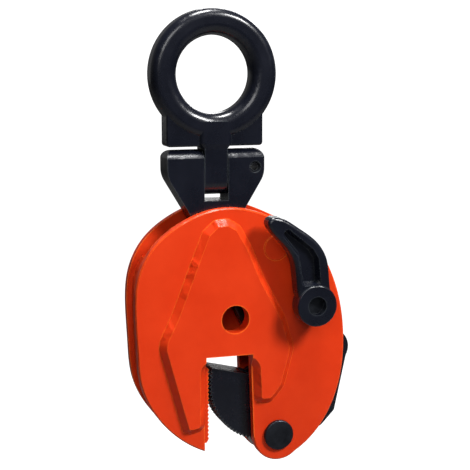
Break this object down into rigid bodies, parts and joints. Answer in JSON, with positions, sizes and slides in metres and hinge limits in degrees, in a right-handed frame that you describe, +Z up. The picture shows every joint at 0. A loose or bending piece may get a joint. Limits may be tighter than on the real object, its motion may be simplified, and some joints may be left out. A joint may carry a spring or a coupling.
{
  "type": "plate lifting clamp",
  "caption": "Vertical plate lifting clamp: painted cheek plates with a jaw slot, a toothed cam on a link, a hinged lifting eye in a shackle and a lock lever.",
  "frame": {"origin": "Centre of the lifting eye's bore, half way through its thickness.", "axes": "X to the right seen from the front, Y away from the front, along the eye's bore, Z up. The clamp hangs from the eye."},
  "size_m": [0.1302, 0.05, 0.2603],
  "materials": {
    "orange_paint": "gloss paint over cast and burned edges",
    "black_paint": "semi-gloss blue-black paint",
    "dark_steel": "blackened, satin",
    "bare_steel": "machined, lightly oiled",
    "spring_steel": "drawn wire and stamped strip",
    "bronze": "turned bearing bronze"
  },
  "bodies": {
    "eye": {"lifting_eye": "black_paint"},
    "shackle": {"shackle": "black_paint", "hinge_pin": "dark_steel", "hinge_roll_pin": "dark_steel", "link_top_pin": "bare_steel"},
    "link": {"link": "dark_steel"},
    "cam": {"cam_segment": "black_paint", "cam_bush": "bronze", "link_low_pin": "bare_steel"},
    "frame": {"front_cheek": "orange_paint", "rear_cheek": "orange_paint", "jaw_block": "orange_paint", "fixed_jaw": "orange_paint", "jaw_screws": "dark_steel", "upper_spacer": "orange_paint", "cam_pivot_pin": "dark_steel", "pivot_clip": "spring_steel", "thrust_washers": "bronze", "spring_post": "bare_steel"},
    "lever": {"lock_lever": "black_paint", "lever_shaft": "dark_steel", "lever_cross_pin": "bare_steel", "lock_crank": "bare_steel", "crank_cross_pin": "bare_steel", "crank_pin": "bare_steel", "shaft_clip": "spring_steel"},
    "spring": {"lock_spring": "spring_steel"}
  },
  "joints": [
    {"name": "eye_fold", "type": "hinge", "parent": "eye", "child": "shackle", "pos_m": [0, 0, -0.052], "axis": [1, 0, 0], "range_deg": [-90, 90]},
    {"name": "link_top_pivot", "type": "hinge", "parent": "shackle", "child": "link", "pos_m": [0, 0, -0.098], "axis": [0, -1, 0], "range_deg": [0, 10]},
    {"name": "link_cam_pivot", "type": "hinge", "parent": "link", "child": "cam", "pos_m": [0.039, 0, -0.176], "axis": [0, -1, 0], "range_deg": [-34, 0]},
    {"name": "cam_pivot", "type": "hinge", "parent": "cam", "child": "frame", "pos_m": [0.0355, 0, -0.2085], "axis": [0, -1, 0], "range_deg": [0, 24]},
    {"name": "lock_spring_swing", "type": "hinge", "parent": "frame", "child": "spring", "pos_m": [0.022, 0, -0.11], "axis": [0, 1, 0], "range_deg": [-38.2, 0]},
    {"name": "lock_lever_turn", "type": "hinge", "parent": "frame", "child": "lever", "pos_m": [0.0523, 0, -0.1296], "axis": [0, 1, 0], "range_deg": [0, 120], "deforming": ["lock_spring"]}
  ],
  "couplings": [
    {"joint": "lock_spring_swing", "follows": "lock_lever_turn", "ratio": -0.3176},
    {"joint": "link_top_pivot", "follows": "cam_pivot", "ratio": 0.4144},
    {"joint": "link_cam_pivot", "follows": "cam_pivot", "ratio": -1.4144}
  ]
}
